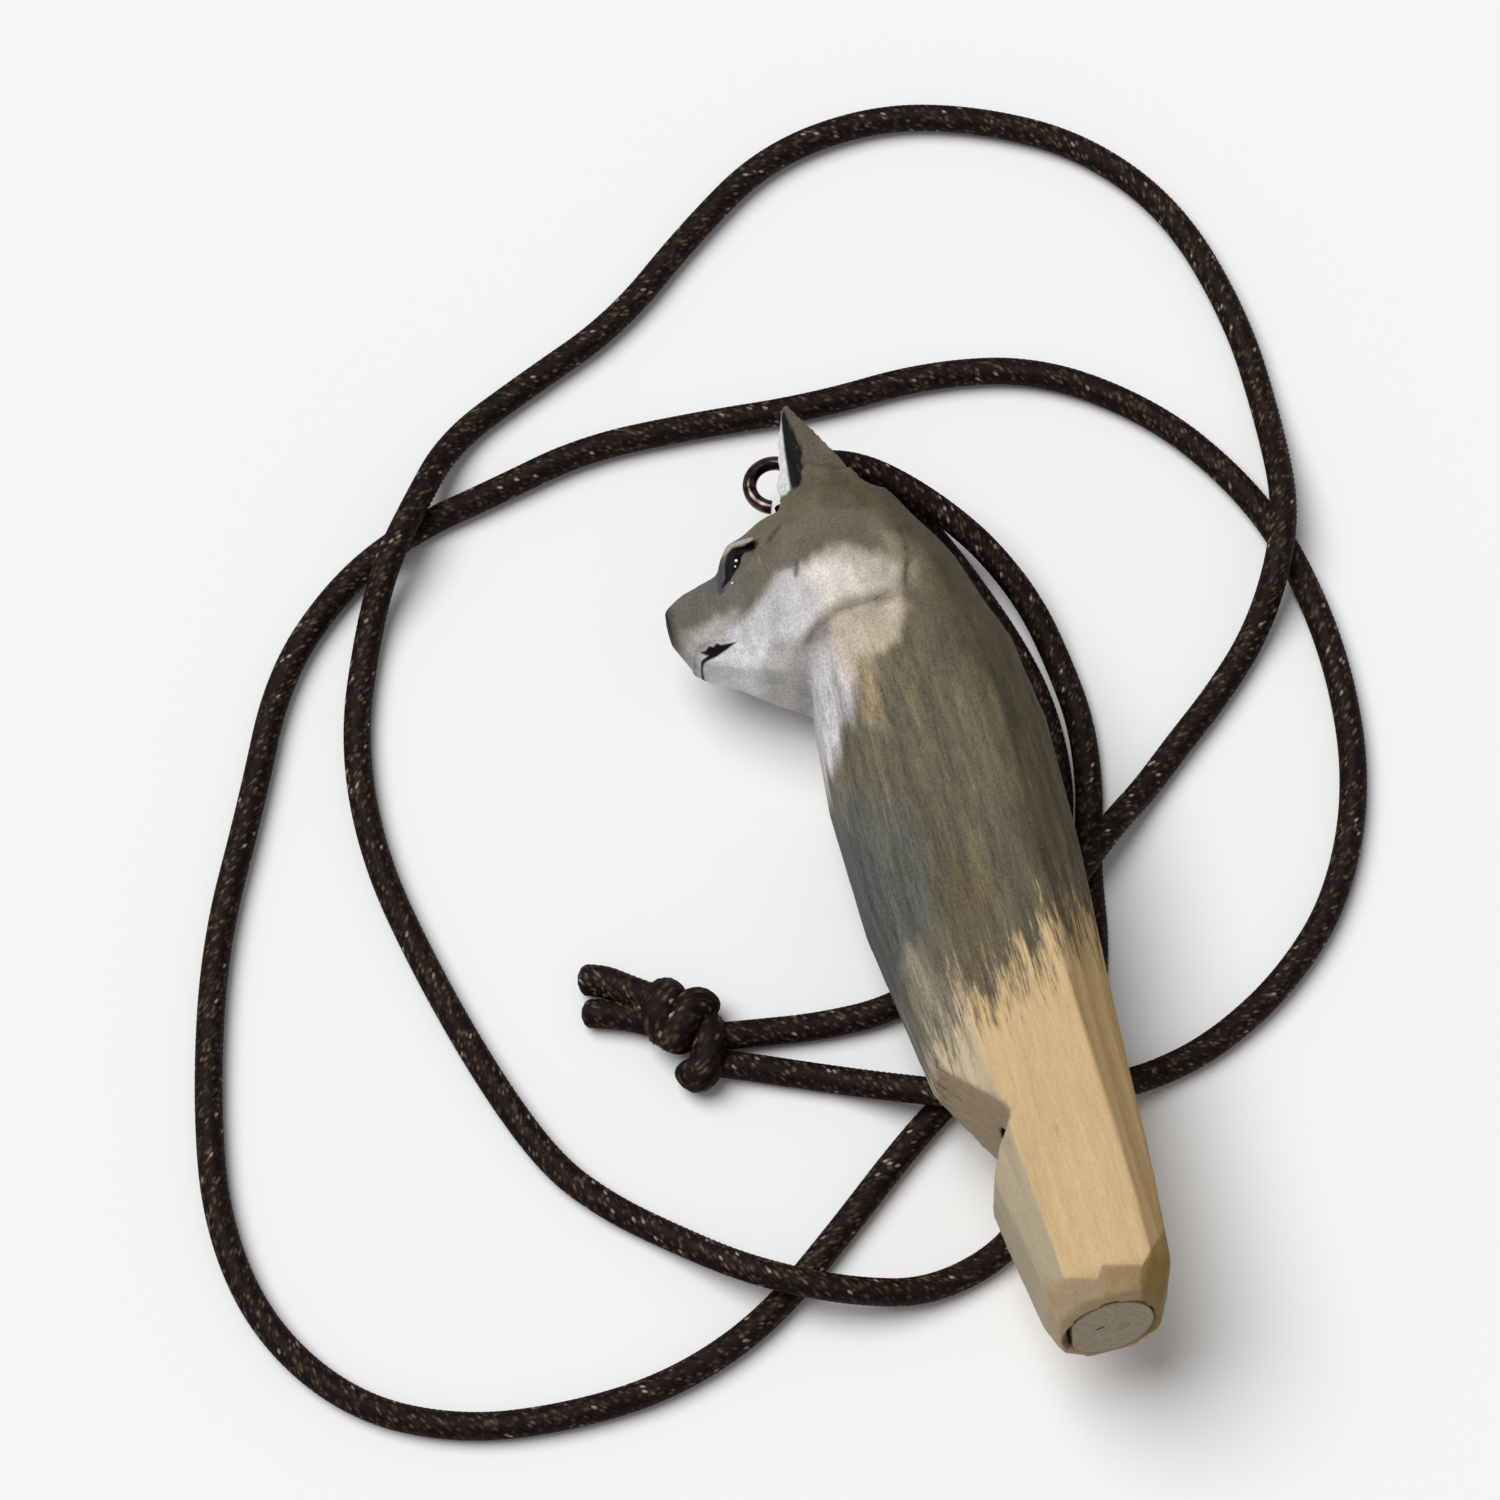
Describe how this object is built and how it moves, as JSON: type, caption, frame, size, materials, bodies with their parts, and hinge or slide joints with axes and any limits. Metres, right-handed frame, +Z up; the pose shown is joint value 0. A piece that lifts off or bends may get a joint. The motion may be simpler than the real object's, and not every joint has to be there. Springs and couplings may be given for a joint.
{
  "type": "carved wooden whistle",
  "caption": "Hand-carved wooden whistle shaped as a sitting wolf, with a drilled air chamber, V-shaped window, plugged mouth end and a screw eye on braided neck cord.",
  "frame": {"origin": "on the surface the whistle lies on, under the middle of its length and width, cord left out", "axes": "+Y along the whistle from the mouth end to the ears, -X toward the wolf's nose and chest, +Z up out of its left flank"},
  "size_m": [0.127, 0.1388, 0.0242],
  "materials": {
    "carved_wood": "knife-carved basswood, brushed grey and cream paint on the wolf's coat, bare at the mouth end",
    "plug_wood": "end grain, unpainted",
    "bright_wire": "bright plated steel",
    "braided_cord": "satin synthetic braid"
  },
  "bodies": {
    "root": {"whistle_body": "carved_wood", "fipple_plug": "plug_wood", "screw_eye": "bright_wire", "cord_long": "braided_cord", "cord_short": "braided_cord", "cord_knot": "braided_cord"}
  },
  "joints": []
}
